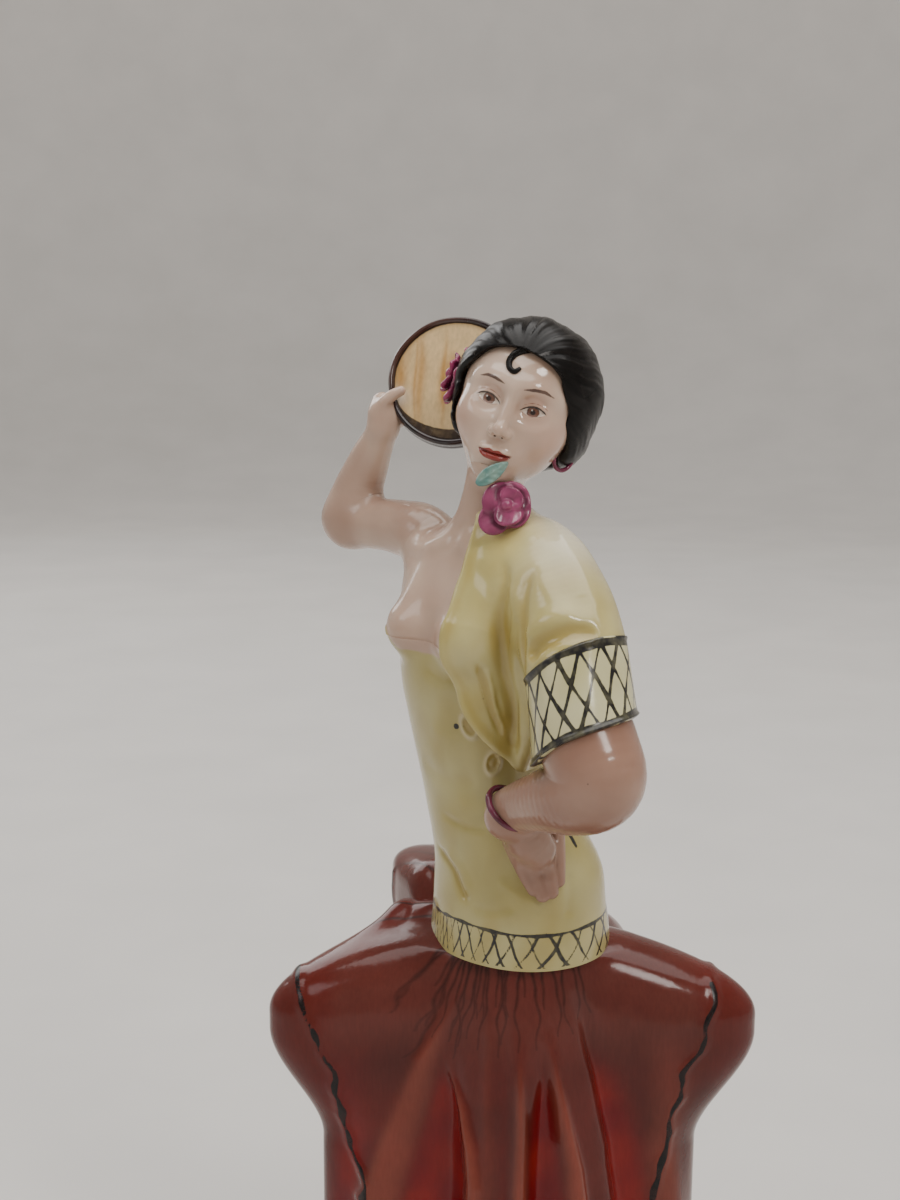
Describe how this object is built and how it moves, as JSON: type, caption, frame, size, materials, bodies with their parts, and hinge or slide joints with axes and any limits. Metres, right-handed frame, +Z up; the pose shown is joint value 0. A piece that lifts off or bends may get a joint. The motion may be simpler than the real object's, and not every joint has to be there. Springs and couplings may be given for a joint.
{
  "type": "porcelain figurine",
  "caption": "Glazed porcelain figurine of a dancer in a swirling red skirt and pale bodice, one hand on the hip, the other holding a tambourine behind the head.",
  "frame": {"origin": "middle of the plinth's underside, on the surface it stands on", "axes": "+Z up, -Y towards the front, +X to the right as seen from the front"},
  "size_m": [0.092, 0.092, 0.2215],
  "materials": {
    "cream": "gloss glaze",
    "red": "gloss glaze",
    "black": "gloss glaze",
    "yellow": "gloss glaze",
    "skin": "gloss glaze",
    "magenta": "gloss glaze",
    "drumskin": "gloss glaze",
    "teal": "gloss glaze"
  },
  "bodies": {
    "root": {"base_plinth": "cream", "skirt_front": "red", "skirt_wing_right": "red", "skirt_wing_left": "red", "skirt_back_right": "red", "skirt_back_left": "red", "front_shoe": "black", "bodice": "yellow", "shoulders_and_neck": "skin", "head": "skin", "hair_cap": "black", "hair_bun": "black", "hair_flower": "magenta", "earring": "magenta", "shawl_front": "yellow", "shawl_back": "yellow", "sleeve": "yellow", "sleeve_cuff": "yellow", "hip_forearm": "skin", "hip_hand": "skin", "bangle": "magenta", "raised_upper_arm": "skin", "raised_forearm": "skin", "raised_hand": "skin", "tambourine_frame": "black", "tambourine_skin": "drumskin", "shoulder_rose": "magenta", "rose_leaf": "teal"}
  },
  "joints": []
}
